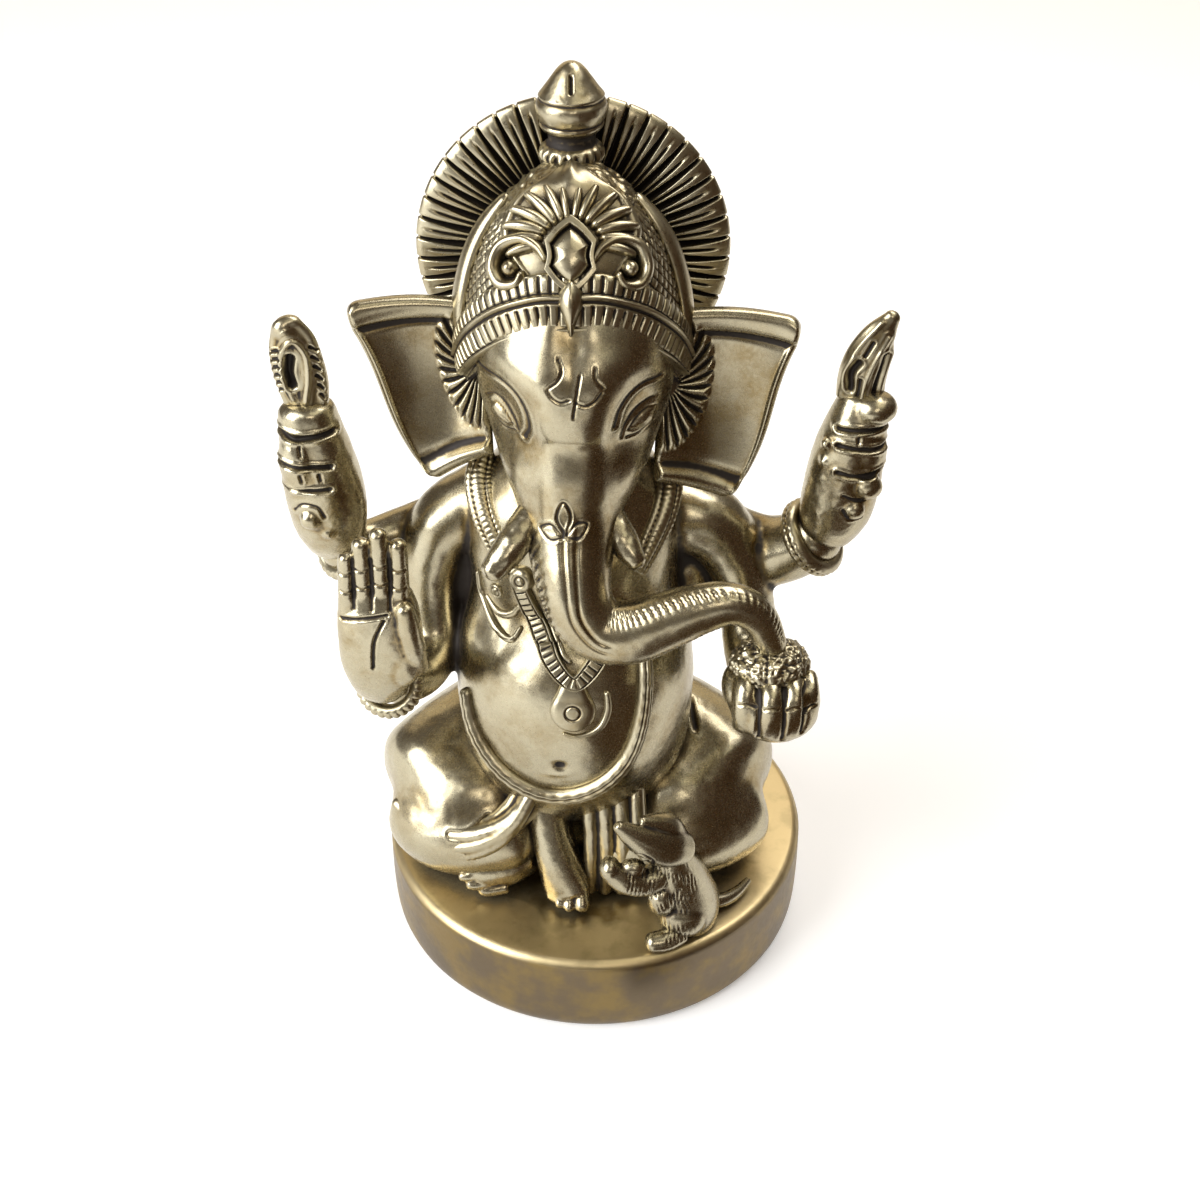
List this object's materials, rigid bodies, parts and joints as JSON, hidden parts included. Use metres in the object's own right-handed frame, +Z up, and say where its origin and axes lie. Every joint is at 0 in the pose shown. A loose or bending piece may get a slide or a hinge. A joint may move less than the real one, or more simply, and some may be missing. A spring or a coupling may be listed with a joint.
{
  "type": "deity figurine",
  "caption": "Seated elephant-headed, four-armed deity figurine in patinated cast brass, with a crown, a halo and a mouse, on a round plinth.",
  "frame": {"origin": "centre of the plinth's underside, where the figurine stands", "axes": "+Z up; the figure faces -Y; +X is the figure's own left, which is the viewer's right"},
  "size_m": [0.1285, 0.103, 0.2078],
  "materials": {
    "figure_brass": "satin polished cast brass, with dark patina left in the engraved lines",
    "ornament_brass": "chased cast brass, dark brown patina in the recesses and worn bright on the ridges",
    "plinth_brass": "dull satin brass with brown stains on the top",
    "mouse_brass": "satin cast brass with hatched fur lines"
  },
  "bodies": {
    "root": {"plinth": "plinth_brass", "torso": "figure_brass", "seat": "figure_brass", "right_thigh": "figure_brass", "left_thigh": "figure_brass", "right_shin": "figure_brass", "left_shin": "figure_brass", "right_foot": "figure_brass", "left_foot": "figure_brass", "head": "figure_brass", "trunk": "figure_brass", "right_tusk": "figure_brass", "left_tusk": "figure_brass", "right_ear": "figure_brass", "left_ear": "figure_brass", "front_right_arm": "figure_brass", "front_right_hand": "figure_brass", "front_left_arm": "figure_brass", "front_left_hand": "figure_brass", "rear_right_arm": "figure_brass", "rear_right_hand": "figure_brass", "rear_left_arm": "figure_brass", "rear_left_hand": "figure_brass", "right_hem": "ornament_brass", "waist_pleats": "ornament_brass", "crown_dome": "ornament_brass", "crown_band": "ornament_brass", "right_lappet": "ornament_brass", "left_lappet": "ornament_brass", "crown_jewel": "ornament_brass", "crest_plumes": "ornament_brass", "right_scroll": "ornament_brass", "left_scroll": "ornament_brass", "crest_drop": "ornament_brass", "finial": "ornament_brass", "halo": "ornament_brass", "front_right_bracelet": "ornament_brass", "front_left_bracelet": "ornament_brass", "rear_right_bracelet": "ornament_brass", "rear_left_bracelet": "ornament_brass", "sweet_heap": "ornament_brass", "rear_right_emblem": "ornament_brass", "rear_left_emblem": "ornament_brass", "necklace": "ornament_brass", "pendant": "ornament_brass", "chest_scroll": "ornament_brass", "right_collar": "ornament_brass", "left_collar": "ornament_brass", "sacred_thread": "ornament_brass", "mouse_body": "mouse_brass", "mouse_head": "mouse_brass", "mouse_paws": "mouse_brass", "mouse_foot": "mouse_brass", "mouse_tail": "mouse_brass"}
  },
  "joints": []
}
